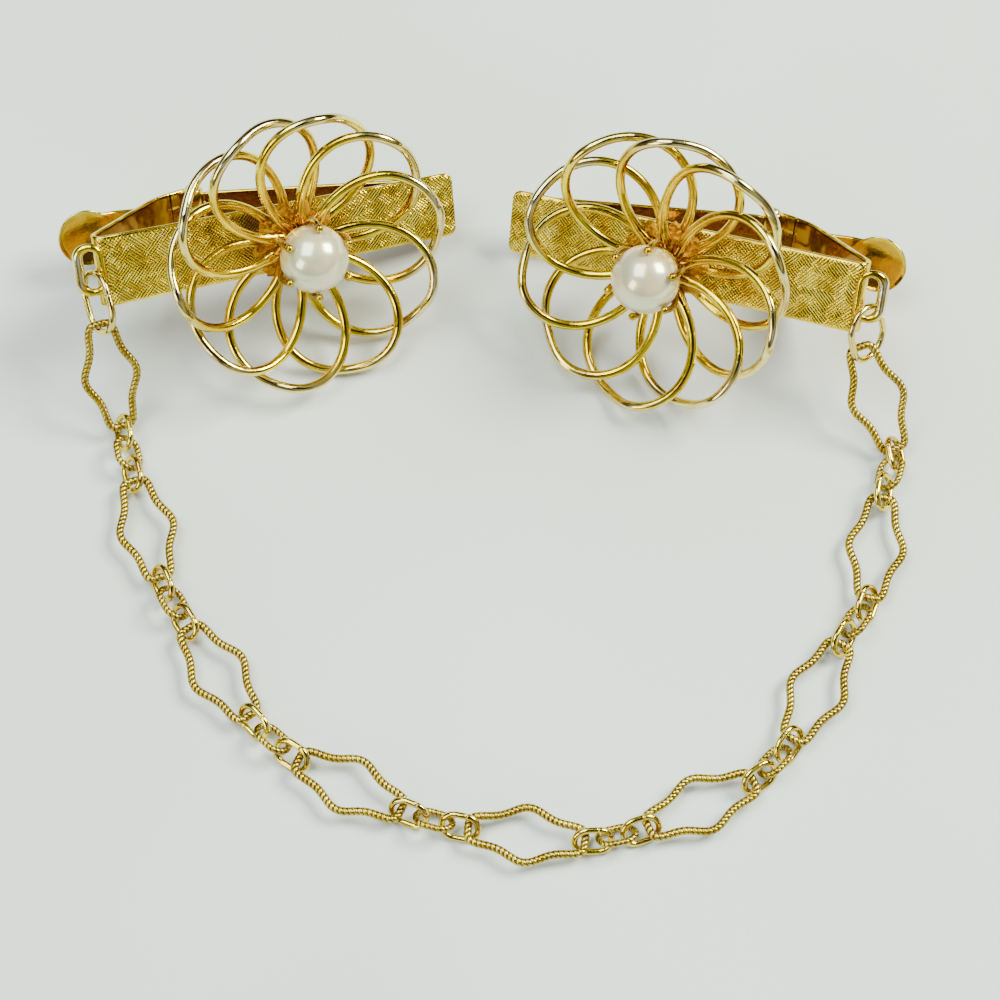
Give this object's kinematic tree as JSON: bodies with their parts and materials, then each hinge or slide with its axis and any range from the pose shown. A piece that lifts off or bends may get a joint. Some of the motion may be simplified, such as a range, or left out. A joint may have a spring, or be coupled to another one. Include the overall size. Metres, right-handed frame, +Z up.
{
  "type": "sweater clip",
  "caption": "Pair of spring clips with looped wire flowers and pearls, joined by a wavy link chain; holds the fronts of a cardigan together.",
  "frame": {"origin": "on the resting surface under the middle of the bounding box", "axes": "+Z up, +X from the left clip to the right clip, +Y from the hanging bend of the chain towards the clips"},
  "size_m": [0.0898, 0.0748, 0.0246],
  "materials": {
    "band_gold": "polished, front plate finely cross-hatched",
    "lever_gold": "polished",
    "flower_gold": "polished, worn silvery on the petal tips",
    "setting_gold": "satin",
    "chain_gold": "polished twisted wire",
    "steel": "satin",
    "pearl": "pearly"
  },
  "bodies": {
    "clips_and_chain": {"left_band": "band_gold", "left_flower": "flower_gold", "left_jump_ring": "chain_gold", "left_pearl": "pearl", "left_pearl_setting": "setting_gold", "left_pivot_pin": "steel", "left_spring": "steel", "right_band": "band_gold", "right_flower": "flower_gold", "right_jump_ring": "chain_gold", "right_pearl": "pearl", "right_pearl_setting": "setting_gold", "right_pivot_pin": "steel", "right_spring": "steel", "ring_1_1": "chain_gold", "ring_1_2": "chain_gold", "ring_1_3": "chain_gold", "ring_2_1": "chain_gold", "ring_2_2": "chain_gold", "ring_2_3": "chain_gold", "ring_3_1": "chain_gold", "ring_3_2": "chain_gold", "ring_3_3": "chain_gold", "ring_4_1": "chain_gold", "ring_4_2": "chain_gold", "ring_4_3": "chain_gold", "ring_5_1": "chain_gold", "ring_5_2": "chain_gold", "ring_5_3": "chain_gold", "ring_6_1": "chain_gold", "ring_6_2": "chain_gold", "ring_6_3": "chain_gold", "ring_7_1": "chain_gold", "ring_7_2": "chain_gold", "ring_7_3": "chain_gold", "ring_8_1": "chain_gold", "ring_8_2": "chain_gold", "ring_8_3": "chain_gold", "wavy_link_1": "chain_gold", "wavy_link_2": "chain_gold", "wavy_link_3": "chain_gold", "wavy_link_4": "chain_gold", "wavy_link_5": "chain_gold", "wavy_link_6": "chain_gold", "wavy_link_7": "chain_gold", "wavy_link_8": "chain_gold", "wavy_link_9": "chain_gold"},
    "left_lever": {"left_lever": "lever_gold"},
    "right_lever": {"right_lever": "lever_gold"}
  },
  "joints": [
    {"name": "left_lever_hinge", "type": "hinge", "parent": "clips_and_chain", "child": "left_lever", "pos_m": [-0.03051, 0.03319, 0.00365], "axis": [-0.0704, 0.6376, 0.7672], "range_deg": [0, 18], "stiffness_Nm_per_rad": 0.03, "springref_deg": -20.05, "deforming": ["left_spring"]},
    {"name": "right_lever_hinge", "type": "hinge", "parent": "clips_and_chain", "child": "right_lever", "pos_m": [0.03059, 0.03026, 0.00364], "axis": [-0.0889, -0.6406, -0.7627], "range_deg": [0, 18], "stiffness_Nm_per_rad": 0.03, "springref_deg": -20.05, "deforming": ["right_spring"]}
  ]
}
